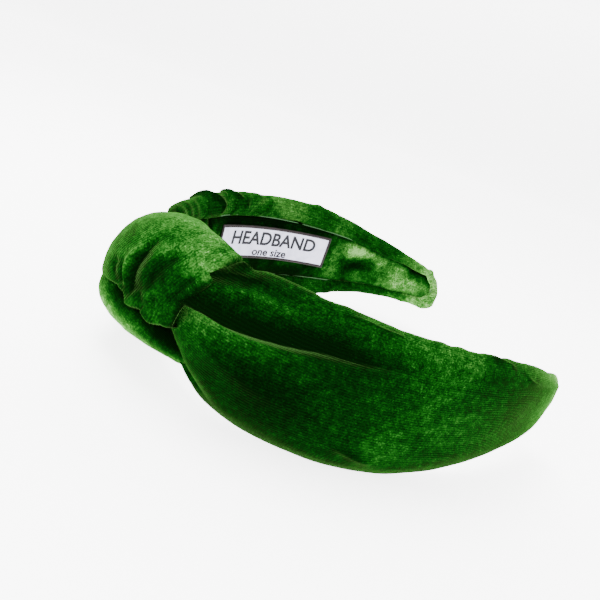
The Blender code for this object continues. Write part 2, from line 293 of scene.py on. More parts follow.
# ---------------------------------------------------------------------------------------------
# Velvet: a short dense pile on a knitted ground, dark where the pile is upright and light where it lies
# over, in random patches. Its colour also carries painted shade, darker in fold valleys, tucks and near
# and under the knot, and painted pale green highlight on ridges, tops, rolled edges and tips; the
# shader's own sheen lights the edges as well.
# ---------------------------------------------------------------------------------------------
def new_group(name, inputs, outputs):
    """A shader node group with named inputs (name, type, default) and outputs (name, type)."""
    group = bpy.data.node_groups.new(name, "ShaderNodeTree")
    for label, kind, value in inputs:
        socket = group.interface.new_socket(label, in_out="INPUT", socket_type=kind)
        if value is not None:
            socket.default_value = value
    for label, kind in outputs:
        group.interface.new_socket(label, in_out="OUTPUT", socket_type=kind)
    return group, group.nodes.new("NodeGroupInput"), group.nodes.new("NodeGroupOutput")


def add_sum(tree, source, scale, offset):
    """Source times a number plus another source or number."""
    node = add_node(tree, "ShaderNodeMath", [(0, source)], operation="MULTIPLY_ADD")
    node.inputs[1].default_value = scale
    if isinstance(offset, float):
        node.inputs[2].default_value = offset
    else:
        tree.links.new(offset, node.inputs[2])
    return node.outputs[0]


def build_velvet_group():
    """Pile: the Painted Light And Lay input lightens ridges and darkens valleys as painted highlight and
    painted shade, patches lie one way or another, tufts speckle it.

    Lay is 0 at the darkest, in upright pile or painted shade, and 1 at the palest, in lying pile or
    painted highlight. Height is for a Bump node.
    """
    group, into, out = new_group(
        "velvet_pile",
        [("Painted Light And Lay", "NodeSocketFloat", 0.0), ("Patch Size", "NodeSocketFloat", 45.0),
         ("Patchy", "NodeSocketFloat", 0.5), ("Lighter By", "NodeSocketFloat", 0.5),
         ("Wale Pitch", "NodeSocketFloat", 1.0)],
        [("Lay", "NodeSocketFloat"), ("Wales", "NodeSocketFloat"), ("Height", "NodeSocketFloat")],
    )
    place = add_node(group, "ShaderNodeTexCoord").outputs["Object"]
    patches = add_node(group, "ShaderNodeTexNoise",
                       [("Vector", place), ("Scale", into.outputs["Patch Size"])],
                       Detail=3.0, Roughness=0.55, Distortion=0.8).outputs["Fac"]
    clumps = add_node(group, "ShaderNodeTexNoise", [("Vector", place)],
                      Scale=420.0, Detail=2.0, Roughness=0.6).outputs["Fac"]
    tufts = add_node(group, "ShaderNodeTexNoise", [("Vector", place)],
                     Scale=1700.0, Detail=2.0, Roughness=0.6).outputs["Fac"]
    centred = add_sum(group, patches, 1.0, -0.5)
    patched = add_node(group, "ShaderNodeMath", [(0, centred), (1, into.outputs["Patchy"])],
                       operation="MULTIPLY")
    # Painted highlight on ridges and painted shade in valleys, added to the random patches of lying pile.
    lit_and_patched = add_sum(group, into.outputs["Painted Light And Lay"], 0.36, patched.outputs[0])
    biased = add_node(group, "ShaderNodeMath", [(0, lit_and_patched), (1, into.outputs["Lighter By"])], operation="ADD")
    clumped = add_sum(group, clumps, 0.55, add_sum(group, biased.outputs[0], 1.0, -0.275))
    speckled = add_sum(group, tufts, 0.75, add_sum(group, clumped, 1.0, -0.375))
    lay = add_node(group, "ShaderNodeMath", [(0, speckled)], operation="MAXIMUM")
    lay.inputs[1].default_value = 0.0
    cloth = add_node(group, "ShaderNodeUVMap", uv_map="cloth")
    split = add_node(group, "ShaderNodeSeparateXYZ", [("Vector", cloth.outputs["UV"])])
    rows = add_node(group, "ShaderNodeMath", [(0, split.outputs["Y"]), (1, into.outputs["Wale Pitch"])],
                    operation="MULTIPLY")
    wander = add_sum(group, clumps, 1.6, rows.outputs[0])
    wave = add_node(group, "ShaderNodeMath", [(0, wander)], operation="SINE")
    wales = add_sum(group, wave.outputs[0], 0.5, 0.5)
    height = add_sum(group, tufts, 1.6, wales)
    group.links.new(lay.outputs[0], out.inputs["Lay"])
    group.links.new(wales, out.inputs["Wales"])
    group.links.new(height, out.inputs["Height"])
    return group


# Velvet colours by Lay: the darkest greens carry painted shade, the pale yellow-green top step carries
# painted highlight.
VELVET_STEPS = [
    (0.10, (0.0003, 0.0026, 0.0003)), (0.34, (0.0006, 0.0090, 0.0006)), (0.54, (0.0014, 0.027, 0.0014)),
    (0.78, (0.022, 0.088, 0.013)), (1.0, (0.115, 0.26, 0.065)),
]
VELVET_SHEEN = (0.35, 0.95, 0.20, 1.0)
velvet_group = build_velvet_group()


def velvet(name, patch_scale, patchy, lighter_by, wale_pitch, sheen):
    """A velvet finish: the pile group colours it from each point's painted light and shade, and the shader's
    own sheen lights its edges.
    """
    material, tree, shader = new_finish(name)
    # Each point's painted highlight and painted shade, as the mesh carries it.
    painted_light_and_lay = add_node(tree, "ShaderNodeAttribute", attribute_name="painted_light_and_lay")
    pile = add_node(tree, "ShaderNodeGroup", node_tree=velvet_group)
    tree.links.new(painted_light_and_lay.outputs["Fac"], pile.inputs["Painted Light And Lay"])
    pile.inputs["Patch Size"].default_value = patch_scale
    pile.inputs["Patchy"].default_value = patchy
    pile.inputs["Lighter By"].default_value = lighter_by
    pile.inputs["Wale Pitch"].default_value = 2 * math.pi / wale_pitch
    colour = colour_steps(tree, pile.outputs["Lay"], VELVET_STEPS)
    lines = add_node(tree, "ShaderNodeMix", data_type="RGBA", blend_type="MULTIPLY")
    shade = colour_steps(tree, pile.outputs["Wales"], [(0.0, (0.5, 0.5, 0.5)), (1.0, (1.3, 1.3, 1.3))])
    tree.links.new(colour, lines.inputs["A"])
    tree.links.new(shade, lines.inputs["B"])
    lines.inputs["Factor"].default_value = 0.45
    bump = add_node(tree, "ShaderNodeBump", [("Height", pile.outputs["Height"])],
                    Strength=0.4, Distance=0.3 * MM)
    tree.links.new(lines.outputs["Result"], shader.inputs["Base Color"])
    tree.links.new(bump.outputs["Normal"], shader.inputs["Normal"])
    shader.inputs["Roughness"].default_value = 0.9
    shader.inputs["Specular IOR Level"].default_value = 0.0
    shader.inputs["Sheen Weight"].default_value = sheen
    shader.inputs["Sheen Roughness"].default_value = 0.3
    shader.inputs["Sheen Tint"].default_value = VELVET_SHEEN
    return material


cover_velvet = velvet("cover_velvet", 26.0, 0.6, 0.41, 0.85 * MM, 0.13)
# The knot's velvet is the cover's cloth made a little lighter, as painted light on the knot.
knot_velvet = velvet("knot_velvet", 34.0, 0.5, 0.46, 0.85 * MM, 0.15)
lining_velvet = velvet("lining_velvet", 50.0, 1.3, 0.40, 0.85 * MM, 0.15)

# ---------------------------------------------------------------------------------------------
# Band sizes: how far the covered band reaches above and below its middle line on each arm, how
# far its padded face stands out, and how wide the lining strip is.
# ---------------------------------------------------------------------------------------------
WIDTH_STATIONS = (0.0, 0.12, 0.21, 0.3, 0.42, 0.55, 0.8, 0.95, 1.0)
UPPER_WIDTHS = {
    FRONT: (17.0, 20.0, 25.6, 26.7, 25.6, 23.6, 19.0, 11.4, 9.4),
    REAR: (22.0, 22.0, 22.6, 23.8, 25.6, 26.0, 17.2, 10.0, 7.6),
}
LOWER_WIDTHS = {
    FRONT: (12.0, 13.0, 20.0, 25.4, 28.2, 29.0, 20.0, 12.0, 9.8),
    REAR: (15.0, 16.5, 19.5, 22.8, 27.0, 29.4, 15.8, 12.2, 12.2),
}
FACE_HEIGHT = 8.0 * MM
TIP_HEIGHT = 4.0 * MM
TIP_ROUNDING = 0.045
LINING_HALF_MOST = 14.6 * MM


def band_widths(angle, side):
    """The band's reach above and below its middle line, smooth between stations."""
    share = np.abs(angle) / TIP_ANGLE
    upper = smooth_curve(share, WIDTH_STATIONS, UPPER_WIDTHS[side]) * MM
    lower = smooth_curve(share, WIDTH_STATIONS, LOWER_WIDTHS[side]) * MM
    return upper, lower


def lining_half_width(angle, side):
    """Half the lining's width: a bit over half of the band, up to its most. It is even at the crown."""
    upper, lower = band_widths(np.maximum(np.abs(angle), 0.8), side)
    return np.minimum(0.56 * np.minimum(upper, lower), LINING_HALF_MOST)


def arm_section(angle, side, across, depth=0.0):
    """A puffy C at each angle, from the lower seam (-1) round the face (0) to the upper seam (1).

    A smooth curve through a few places: seam, puffed return, rolled edge, shoulder and face. Depth
    moves it inwards, for an inner wall or the foam. Returns how far out and how high each point is.
    """
    upper, lower = band_widths(angle, side)
    share = np.abs(angle) / TIP_ANGLE
    rounding = (1 - np.clip((share - 1 + TIP_ROUNDING) / TIP_ROUNDING, 0, 0.999) ** 2.6) ** (1 / 2.6)
    face = np.interp(share, (0.5, 1.0), (FACE_HEIGHT, TIP_HEIGHT)) * (0.35 + 0.65 * rounding) - depth
    back = np.interp(share, (0.6, 1.0), (3.8 * MM, 3.0 * MM)) * (0.35 + 0.65 * rounding) - depth
    seam = (lining_half_width(angle, side) + 0.5 * MM) * (1 - ease(share, 0.95, 0.978)) + 0.05 * MM
    half = np.minimum(upper, lower)
    roll = np.minimum(6.0 * MM, 0.4 * half)
    stations = (0.0, 0.2, 0.4, 0.58, 0.68, 0.76, 0.83, 0.92, 1.0)
    out_shares = (1.0, 0.98, 0.90, 0.70, 0.42, 0.06, -0.55, -1.0, -0.62)
    t = np.abs(across)
    columns = np.searchsorted(stations, t).clip(1, len(stations) - 1) - 1
    shares = smooth_curve(t, stations, out_shares)
    out = np.where(shares > 0, shares * face, shares * back)
    width = np.where(across > 0, upper, lower)
    width = width * (1 - 0.65 * (1 - rounding)) - depth
    seam = np.minimum(seam + depth, width)
    places = [0.0 * width, 0.33 * width, 0.66 * width, width - 0.62 * roll, width - 0.18 * roll, width,
              width - 0.2 * roll, 0.5 * (width - 0.5 * roll + seam), seam]
    places = np.stack(np.broadcast_arrays(*places), axis=0)
    slopes = np.gradient(places, np.array(stations), axis=0)
    span = np.diff(stations)[columns]
    part = (t - np.array(stations)[columns]) / span
    here, after = np.take_along_axis, columns + 1
    p0 = here(places, columns[None], 0)[0]
    p1 = here(places, after[None], 0)[0]
    m0 = here(slopes, columns[None], 0)[0] * span
    m1 = here(slopes, after[None], 0)[0] * span
    up = (p0 * (1 + 2 * part) * (1 - part) ** 2 + m0 * part * (1 - part) ** 2
          + p1 * part ** 2 * (3 - 2 * part) - m1 * part ** 2 * (1 - part))
    return out, np.sign(across) * up


# ---------------------------------------------------------------------------------------------
# Folds in the cloth. A fold follows a route over the flat cloth: millimetres along the arm from
# the crown, and across it (0 on the middle of the face, 40 at the seams). Each row of a table of
# folds is its route, its height, its widths to the left and right, and how it fades in and out.
# ---------------------------------------------------------------------------------------------
CROSS_SCALE = 40.0


def distance_to_route(along, across, route):
    """Signed distance from points to a line of straight runs, and how far along it, from 0 to 1.

    The distance is positive on the left of the route's direction. All in millimetres.
    """
    route = np.array(route, float)
    runs = np.diff(route, axis=0)
    lengths = np.hypot(runs[:, 0], runs[:, 1])
    starts = np.concatenate([[0], np.cumsum(lengths)[:-1]])
    best = np.full(along.shape, 1e9)
    signed = np.zeros(along.shape)
    share = np.zeros(along.shape)
    for (x, y), (dx, dy), length, start in zip(route[:-1], runs, lengths, starts):
        t = np.clip(((along - x) * dx + (across - y) * dy) / length ** 2, 0, 1)
        off_x, off_y = along - x - t * dx, across - y - t * dy
        distance = np.hypot(off_x, off_y)
        closer = distance < best
        best = np.where(closer, distance, best)
        side = np.where(dx * off_y - dy * off_x >= 0, 1.0, -1.0)
        signed = np.where(closer, side * distance, signed)
        share = np.where(closer, (start + t * length) / lengths.sum(), share)
    return signed, share


def fold(along, across, route, height, left, right, fade_in=0.0, fade_out=0.35, sharp=1.3):
    """A ridge (or a valley, with a negative height) along a route, as wide as left and right say.

    Its profile is an exponential fall from the route; it fades in and out over shares of its length.
    """
    signed, share = distance_to_route(along, across, route)
    width = np.where(signed > 0, left, right)
    strength = ease(1 - share, 0, fade_out)
    if fade_in:
        strength = strength * ease(share, 0, fade_in)
    return height * strength * np.exp(-(np.abs(signed) / width) ** sharp)


def crumple(along, across, size_along, size_across, seed):
    """Soft seeded noise from -1 to 1: random values on a lattice, blended smoothly between its points."""
    values = np.random.default_rng(seed).uniform(-1, 1, (64, 64))
    x, y = along / size_along + 7.3, across / size_across + 20.1
    column, row = np.floor(x).astype(int), np.floor(y).astype(int)
    fx, fy = x - column, y - row
    fx, fy = fx * fx * (3 - 2 * fx), fy * fy * (3 - 2 * fy)
    corner = values[column % 64, row % 64] * (1 - fx) + values[(column + 1) % 64, row % 64] * fx
    above = values[column % 64, (row + 1) % 64] * (1 - fx) + values[(column + 1) % 64, (row + 1) % 64] * fx
    return corner * (1 - fy) + above * fy


def common_folds(along, across, seed):
    """Slight unevenness of stuffed velvet, and small puckers where the seam thread pulls."""
    seam_side = ease(np.abs(across), 26, 36)
    face = 0.35 * crumple(along, across, 22, 14, seed) + 0.16 * crumple(along, across, 8, 7, seed + 1)
    pucker = 0.45 * crumple(along, across, 3.6, 16, seed + 2) + 0.3 * crumple(along, across, 8, 20, seed + 3)
    return face * (1 - 0.5 * seam_side) + pucker * seam_side


FRONT_FOLDS = (
    # deep valley out of the knot, and the ridge that runs along it
    ([(30, 7.5), (42, 8.8), (49, 8.6), (56, 9.4), (64, 10.6), (74, 12.6), (92, 14), (112, 14)],
     -4.8, 4.4, 1.6, 0.0, 0.75),
    ([(28, 4.5), (40, 5.4), (48, 5.3), (55, 5.6), (63, 7.0), (72, 9.0), (84, 11)], 2.4, 1.7, 6.0, 0.0, 0.6),
    # soft roll above the valley
    ([(34, 13), (44, 17.0), (52, 19.0), (64, 19.5), (84, 19)], 1.8, 4.0, 4.0, 0.0, 0.6),
    # second valley, nearer the upper edge, with a short tuck beside the wrap
    ([(33, 17.5), (40, 19.6), (45, 22.4), (52, 24.2), (62, 24.8), (76, 25)], -3.6, 2.4, 2.8, 0.0, 0.8),
    ([(36, 22.4), (41, 25.2), (45, 27.4), (49, 28.6)], -4.6, 1.5, 1.1, 0.0, 0.35),
    # roll under the upper edge
    ([(37, 27.5), (44, 30.0), (54, 31.0)], 1.6, 3.0, 2.0, 0.0, 0.5),
    # ridge towards the lower edge, and a long hollow across the face
    ([(20, -1), (26, -9), (31, -13.5), (37, -18), (45, -21.5), (54, -24)], 2.6, 5.0, 2.6, 0.0, 0.55),
    ([(38, -1), (50, -4), (66, -7), (88, -9)], -1.3, 6.0, 5.0, 0.2, 0.6),
    # small creases low on the face, under the upper edge and towards the tip
    ([(86, -13.6), (92, -15.4), (99, -18.0), (106, -19.6)], -0.9, 1.1, 1.6, 0.3, 0.4),
    ([(76, 27.0), (84, 27.4), (92, 27.0), (100, 27.6)], -1.3, 1.0, 1.4, 0.3, 0.3),
    ([(124, 28.4), (131, 29.4), (137, 28.0), (142, 25.6)], -0.9, 0.9, 1.6, 0.3, 0.3),
    ([(146, 25), (152, 21), (158, 20)], -0.7, 1.0, 1.5, 0.3, 0.4),
)


def front_folds(along, across):
    """The front arm: deep pleats run out of the knot and fade over the face."""
    height = common_folds(along, across, 11)
    for route, tall, left, right, fade_in, fade_out in FRONT_FOLDS:
        height += fold(along, across, route, tall, left, right, fade_in, fade_out)
    return height


REAR_FOLDS = (
    # creases that draw the upper roll in beside the knot
    ([(39, 20), (44, 31), (50.5, 35), (48, 38.6)], -1.9, 1.3, 1.6, 0.15, 0.2),
    ([(55, 24), (60, 32.4), (66.5, 35.6), (68, 38)], -1.7, 1.2, 1.6, 0.2, 0.2),
    # a crease and its ridge, where the seam pulls
    ([(82, 31), (78, 34.4), (70, 38.4)], 1.3, 1.0, 1.2, 0.3, 0.2),
    ([(84, 33), (80, 36.0), (74, 39)], -1.5, 1.0, 1.4, 0.3, 0.2),
    # puffed rolls along the upper edge
    ([(34, 33), (40, 34)], 1.0, 5.0, 5.0, 0.0, 0.1),
    ([(54, 33), (60, 35)], 1.5, 4.5, 4.5, 0.2, 0.1),
    ([(72, 30), (90, 34), (112, 34)], 1.2, 5.0, 5.0, 0.2, 0.3),
    # creases towards the tip
    ([(108, 24), (114, 33), (119, 37)], -0.9, 1.8, 2.6, 0.3, 0.3),
    ([(124, 37.0), (134, 36.2), (148, 36.8)], -0.9, 1.0, 1.4, 0.3, 0.3),
    ([(182, 26), (187, 30), (190, 34)], -1.2, 1.0, 1.4, 0.3, 0.3),
)


def rear_folds(along, across):
    """The rear arm: its puffed upper roll is drawn into short creases beside the knot."""
    height = common_folds(along, across, 31)
    for route, tall, left, right, fade_in, fade_out in REAR_FOLDS:
        height += fold(along, across, route, tall, left, right, fade_in, fade_out)
    for start, drift in ((8, -2), (14, 1), (-3, 3), (-14, -2)):
        height += fold(along, across, [(30, start), (48, start + drift), (70, start + 2 * drift)],
                       -2.0, 1.6, 2.2, fade_out=0.9)
    return height


FOLDS = {FRONT: front_folds, REAR: rear_folds}
# Where the cloth comes out of the knot: places across the cloth, and how far along the arm each is.
EMERGING = {
    FRONT: ((-40, -28, -23, -18, -12.6, -8, -1, 9, 17, 27, 30, 40),
            (48, 42, 36, 31, 26, 23, 21, 25, 32, 44, 47, 49)),
    REAR: ((-40, 0, 20, 30, 40), (30, 28, 20, 13, 13)),
}


def emerged(along, across, side):
    """How far the cover has come out of the knot: 0 inside it, then a rounded rise to 1."""
    start = np.interp(across, *EMERGING[side])
    part = np.clip((along - start) / 5.0, 0, 1)
    return np.sqrt(1 - (1 - part) ** 2)


def raised(points, height):
    """Points of a grid moved along the grid's own normals, by a height in millimetres."""
    rows = np.gradient(points, axis=0)
    columns = np.gradient(points, axis=1)
    normal = np.cross(rows, columns)
    length = np.linalg.norm(normal, axis=-1, keepdims=True)
    return points + normal / np.maximum(length, 1e-12) * (height * MM)[..., None]


# ---------------------------------------------------------------------------------------------
# Arm covers: the outer velvet of each arm, wrapped over the foam and both edges and folded over
# the tip. It runs on under the knot, where it is gathered.
# ---------------------------------------------------------------------------------------------
COVER_START = 0.14
CLOTH_THICKNESS = 1.2 * MM
TIP_SLANT = {FRONT: 0.06, REAR: 0.045}
# How much each arm's cover is painted darker near the knot, as painted shade.
KNOT_SHADE = {FRONT: 0.35, REAR: 0.2}
BEND_FROM, BEND_TO = 0.5, 0.76


def cover_skin(side, angle, across, depth):
    """One skin of an arm's cover: the section along the hoop, raised by the arm's folds.

    Returns its points and its painted light: painted shade darkens valleys and the cloth near and
    under the knot, and painted highlight lightens ridges, the tip and the rolled edges.
    """
    out, up = arm_section(angle, side, across, depth)
    along = np.broadcast_to(length_along(angle) / MM, out.shape)
    free = emerged(along, across * CROSS_SCALE, side)
    out = np.where(out > 0, out * (0.3 + 0.7 * free), out)
    slant = TIP_SLANT[side] * ease(angle, 0.93 * TIP_ANGLE, TIP_ANGLE) * np.clip(up / (9 * MM), -0.3, 1)
    points = on_hoop(side * (angle - slant), out, up * (0.92 + 0.08 * free))
    height = free * FOLDS[side](along, np.broadcast_to(across * CROSS_SCALE, out.shape))
    end = length_along(TIP_ANGLE) / MM
    height = height * (1 - ease(along, end - 6, end - 1))
    # Painted highlight: lighter towards the tip and along the rolled edges.
    lighter_by = 1.1 * ease(along, end - 34, end - 6) + 0.25 * ease(across * CROSS_SCALE, 16, 30)
    # Painted shade: darker near the knot and where the cloth goes in under it.
    knot_shade = KNOT_SHADE[side] * (1 - ease(along, 60, 110)) + 0.5 * (1 - free)
    # Painted highlight on ridges and painted shade in valleys, from the fold height.
    return raised(points, side * height), np.maximum(height / 3, -1.0) + lighter_by - knot_shade


def arm_cover(name, side):
    """The cover of one arm: outer skin and inner wall in one closed section, shut at the tip."""
    body = TIP_ANGLE * (1 - TIP_ROUNDING)
    rows = np.concatenate([np.linspace(COVER_START, 1.0, 190), np.linspace(1.0, body, 170)[1:],
                           TIP_ANGLE * (1 - TIP_ROUNDING * np.cos(np.linspace(0, np.pi / 2, 26)[1:]))])
    angle = rows[:, None]
    outer = np.linspace(-1, 1, 161)[None, :] + 0 * angle
    inner = np.linspace(1, -1, 41)[None, :] + 0 * angle
    skin, painted_light_and_lay = cover_skin(side, angle, outer, 0.0)
    lining_side, beneath = cover_skin(side, angle, inner[:, ::-1], CLOTH_THICKNESS)
    points = np.concatenate([skin, lining_side[:, ::-1]], axis=1)
    painted_light_and_lay = np.concatenate([painted_light_and_lay, beneath[:, ::-1]], axis=1)
    points[-1] = points[-1].mean(axis=0)
    across = np.concatenate([outer, inner], axis=1) * CROSS_SCALE * MM
    return add_piece(name, points, length_along(angle), across, closed=True, painted_light_and_lay=painted_light_and_lay)


cover_front = arm_cover("front_cover", FRONT)
cover_rear = arm_cover("rear_cover", REAR)

for cover, side, place in ((cover_front, FRONT, "front"), (cover_rear, REAR, "rear")):
    cover.data.materials.append(cover_velvet)
    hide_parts(f"cover_{place}", f"cover_{place}_gather")
    tuple(on_hoop(side * BEND_FROM, 0.0, 0.0))
    tuple(on_hoop(side * BEND_TO, 0.0, 0.0))
    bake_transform(cover)

# ---------------------------------------------------------------------------------------------
# Foam: a soft open-cell strip on each arm, glued to the springy strip. The cover is pulled over it
# and sinks it in where the folds are deep.
# ---------------------------------------------------------------------------------------------
FOAM_BASE = 1.3 * MM
FOAM_CLEARANCE = 2.5 * MM
FOAM_WHITE = (0.74, 0.73, 0.68)


def foam_finish():
    """Open-cell foam: pale, matt and pitted with small cells."""
    material, tree, shader = new_finish("foam")
    place = add_node(tree, "ShaderNodeTexCoord")
    cells = add_node(tree, "ShaderNodeTexVoronoi", [("Vector", place.outputs["Object"])], Scale=900.0)
    # The cells' pits are painted darker, as painted shade.
    colour = colour_steps(tree, cells.outputs["Distance"], [(0.0, (0.5, 0.49, 0.44)), (0.6, FOAM_WHITE)])
    bump = add_node(tree, "ShaderNodeBump", [("Height", cells.outputs["Distance"])],
                    Strength=0.5, Distance=0.4 * MM)
    tree.links.new(colour, shader.inputs["Base Color"])
    tree.links.new(bump.outputs["Normal"], shader.inputs["Normal"])
    shader.inputs["Roughness"].default_value = 0.95
    return material


foam = foam_finish()


def arm_foam(name, side, first, last):
    """Foam under a cover: the cover's own face, further in, closed by a flat back on the strip."""
    angle = np.linspace(first, last, 110)[:, None]
    across = np.linspace(-0.72, 0.72, 49)[None, :] + 0 * angle
    along = np.broadcast_to(length_along(angle) / MM, across.shape)
    sunk = 1.3 * np.minimum(FOLDS[side](along, across * CROSS_SCALE), 0.0) * MM
    out, up = arm_section(angle, side, across, FOAM_CLEARANCE)
    out = np.maximum(out + sunk, FOAM_BASE + 0.2 * MM)
    out = np.concatenate([out, np.full_like(out, FOAM_BASE)], axis=1)
    up = np.concatenate([up, up[:, ::-1]], axis=1)
    points = on_hoop(side * angle, out, up)
    for row in (0, -1):
        points[row] = points[row].mean(axis=0)
    return add_piece(name, points, length_along(angle), up, closed=True)


for side, place in ((FRONT, "front"), (REAR, "rear")):
    pad = arm_foam(f"{place}_foam", side, 0.69, TIP_ANGLE * 0.98)
    pad.data.materials.append(foam)
    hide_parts(f"foam_{place}")
    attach(pad, f"{place}_arm")

# ---------------------------------------------------------------------------------------------
# Lining: a strip of crushed velvet inside each arm, its edges tucked under the cover's and
# slip-stitched there with green thread. The two strips meet under the knot.
# ---------------------------------------------------------------------------------------------
LINING_INNER = -2.7 * MM
LINING_TUCK = 1.5 * MM
LINING_PLEATS = (37.0, 42.5, 47.5)


def lining_strip(name, side):
    """The lining of one side: a slightly bowed strip with rounded-off edges and soft pleats."""
    rows = np.concatenate([np.linspace(0.0, 1.0, 120), np.linspace(1.0, TIP_ANGLE * 0.975, 150)[1:]])
    angle = rows[:, None]
    turn = np.linspace(-1, 1, 61)[None, :] + 0 * angle
    share = angle / TIP_ANGLE
    ending = np.sqrt(1 - np.clip((share - 0.955) / 0.0205, 0, 0.995) ** 2)
    width = (lining_half_width(angle, side) + LINING_TUCK) * ending
    along = np.broadcast_to(length_along(angle) / MM, turn.shape)
    across = turn * width / MM
    bow = 0.9 * (1 - np.abs(turn) ** 3.0) + 0.0 * angle
    height = bow + 0.35 * crumple(along, across, 13, 9, 51) + 0.2 * crumple(along, across, 5, 5, 52)
    for at in LINING_PLEATS:
        pleat = [(at - 3, 15), (at, 4), (at + 2, -8)]
        height = height + fold(along, across, pleat, -1.3, 1.0, 1.2, fade_out=0.5)
    height = height - 1.6 * np.abs(turn) ** 8
    front = on_hoop(side * angle, LINING_INNER - height * MM, turn * width)
    back = on_hoop(side * angle, LINING_INNER + 1.1 * MM + 0 * turn, turn * width)
    points = np.concatenate([front, back[:, ::-1]], axis=1)
    points[-1] = points[-1].mean(axis=0)
    points[0] = points[0].mean(axis=0)
    crushed = ease(along, 110, 122) * (0.75 + 0.8 * crumple(along, across, 12, 9, 53))
    beside_knot = ease(along, 30, 36) * (1 - ease(along, 52, 60))
    crushed += beside_knot * (1.2 + 0.8 * crumple(along, across, 4, 14, 54))
    # Painted light on the lining's face: painted shade in the pleats, at the rolled-off edges and a little
    # all over, lighter on its bumps, with the crushed patches of lying pile on top.
    painted_light_and_lay = np.concatenate([height - bow + crushed - 0.5, height[:, ::-1]], axis=1)
    across = np.concatenate([across, across[:, ::-1]], axis=1) * MM
    return add_piece(name, points, length_along(angle), across, closed=True, painted_light_and_lay=painted_light_and_lay)


for side, place in ((FRONT, "front"), (REAR, "rear")):
    strip = lining_strip(f"{place}_lining", side)
    strip.data.materials.append(lining_velvet)
    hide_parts(f"lining_{place}", "lining_crown")
    tuple(on_hoop(side * BEND_FROM, 0.0, 0.0))
    tuple(on_hoop(side * BEND_TO, 0.0, 0.0))
    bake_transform(strip)


def thread_finish():
    """Sewing thread: fine slanting ply bands, with painted highlight where they rise and painted shade
    between them.
    """
    material, tree, shader = new_finish("sewing_thread_finish")
    place = add_node(tree, "ShaderNodeTexCoord").outputs["Object"]
    plies = add_node(tree, "ShaderNodeTexWave", [("Vector", place)],
                     Scale=900.0, Distortion=1.5, bands_direction="DIAGONAL")
    fuzz = add_node(tree, "ShaderNodeTexNoise", [("Vector", place)], Scale=2500.0, Detail=2.0).outputs["Fac"]
    level = add_sum(tree, fuzz, 0.4, plies.outputs["Fac"])
    # Painted highlight on the plies and painted shade between them.
    colour = colour_steps(tree, level, [(0.3, (0.002, 0.030, 0.003)), (1.0, (0.012, 0.095, 0.010))])
    bump = add_node(tree, "ShaderNodeBump", [("Height", plies.outputs["Fac"])],
                    Strength=0.5, Distance=0.1 * MM)
    tree.links.new(colour, shader.inputs["Base Color"])
    tree.links.new(bump.outputs["Normal"], shader.inputs["Normal"])
    shader.inputs["Roughness"].default_value = 0.7
    return material


give_finish(thread_finish(), "lining_thread_front", "lining_thread_rear")

# ---------------------------------------------------------------------------------------------
# Knot: wadding under folds of velvet. A skin closes the lower side, the loop passes round it as a
# padded strand, and the wrap comes from the top, crosses the front and tucks in above the loop.
# ---------------------------------------------------------------------------------------------
KNOT_PLACES = (-0.425, -0.30, -0.15, 0.0, 0.10, 0.25)
KNOT_OUT = (13.0, 17.0, 20.0, 20.9, 18.0, 9.0)
KNOT_UP = (27.2, 28.4, 29.2, 28.2, 26.0, 20.0)
KNOT_LIP = 5.2 * MM
KNOT_LEAN = 0.19 / (28 * MM)
HOOP_SPEED = 75.0
HEM_PLACES = (-0.425, -0.39, -0.33, -0.28, -0.24, -0.04, 0.1, 0.25)
HEM_TURNS = (-1.5, -4.0, -0.5, -2.0, 0.5, -1.0, 3.0, 6.0)
WRAP_BACK = 158.0


def knot_form(turn, size, tall):
    """A rounded section about the strip: how far out and how high, at a turn in degrees.

    0 is outwards and 90 upwards. It is a superellipse, size deep outwards and a lip deep inwards, and
    tall upwards; the lip thins where it tucks in beneath the lining.
    """
    lip = KNOT_LIP * (1 - 0.6 * ease(np.abs(turn), 125, 158))
    turn = np.radians(turn)
    across = np.sign(np.cos(turn)) * np.abs(np.cos(turn)) ** 0.8
    out = np.where(across > 0, size, lip) * across
    up = tall * np.sign(turn) * np.abs(np.sin(turn)) ** 0.85
    return out, up


WRAP_FOLDS = (
    # two short pleats beside the front edge
    ([(-8, 9), (-9, 4), (-11, 2.2), (-14, 1), (-16, 0.6)], -1.3, 1.4, 1.6, 0.3, 0.1),
    ([(-10.6, 12), (-11.3, 7), (-13, 4.2), (-15, 2.4), (-18, 0), (-21, -1)], -1.7, 1.3, 1.6, 0.4, 0.1),
    # ridge and deep main pleat down the middle of the dome
    ([(-10.9, 22), (-12.1, 14.3), (-13.3, 8), (-15.6, 4), (-19, 0.8)], 1.5, 1.2, 1.1, 0.5, 0.2),
    ([(-11, 29), (-13, 22), (-14, 16), (-14.8, 12), (-15.6, 9), (-17, 5.3), (-19, 2.6), (-22, 0)],
     -2.8, 1.5, 3.2, 0.6, 0.1),
    # soft roll behind it, then the second pleat
    ([(-16, 26), (-17.5, 16), (-19, 9), (-21, 4)], 0.9, 2.5, 2.5, 0.3, 0.3),
    ([(-22, 27), (-21.5, 20), (-21.5, 15), (-22.5, 9.5), (-25, 4)], -1.7, 3.0, 3.4, 0.35, 0.3),
    # short tucks at the hem
    ([(-22, 3.4), (-24, 1.4), (-26, -0.6)], -1.3, 1.1, 1.2, 0.3, 0.1),
    ([(-27, 5), (-28.4, 1)], -0.8, 0.8, 0.9, 0.4, 0.1),
    # pleat beside the rear edge
    ([(-30, 20), (-30.6, 12), (-31, 7), (-30.6, 2)], -1.1, 1.8, 1.2, 0.3, 0.3),
    # roll over the top
    ([(-6, 24), (-5.5, 34), (-14, 38), (-26, 37)], 0.8, 4.0, 4.0, 0.3, 0.3),
)


